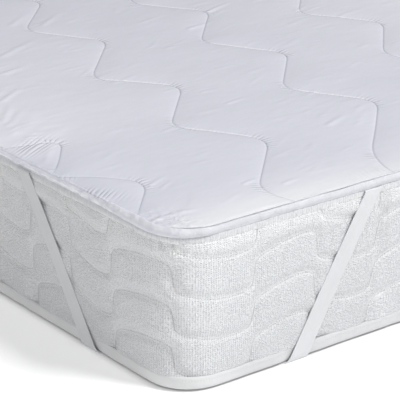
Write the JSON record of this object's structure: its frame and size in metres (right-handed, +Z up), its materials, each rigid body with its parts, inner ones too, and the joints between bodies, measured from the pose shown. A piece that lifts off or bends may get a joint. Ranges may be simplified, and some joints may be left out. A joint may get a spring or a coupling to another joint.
{
  "type": "mattress topper on a mattress",
  "caption": "Quilted mattress topper with a bound edge, held on a plain mattress by elastic straps round its corners.",
  "frame": {"origin": "on the floor, under the centre of the mattress", "axes": "+X across the mattress, +Y along it, +Z up"},
  "size_m": [1.0148, 2.0148, 0.2283],
  "materials": {
    "white_quilted": "matt smooth woven cloth, quilted over a thin filling",
    "white_binding": "matt folded cloth strip",
    "elastic": "matt woven elastic webbing",
    "knitted_cover": "matt quilted knitted ticking",
    "edge_tape": "matt smooth woven tape"
  },
  "bodies": {
    "root": {"topper_pad": "white_quilted", "topper_binding": "white_binding", "corner_strap_front_left": "elastic", "corner_strap_front_right": "elastic", "corner_strap_back_right": "elastic", "corner_strap_back_left": "elastic", "mattress_body": "knitted_cover", "mattress_top_tape": "edge_tape", "mattress_bottom_tape": "edge_tape"}
  },
  "joints": []
}
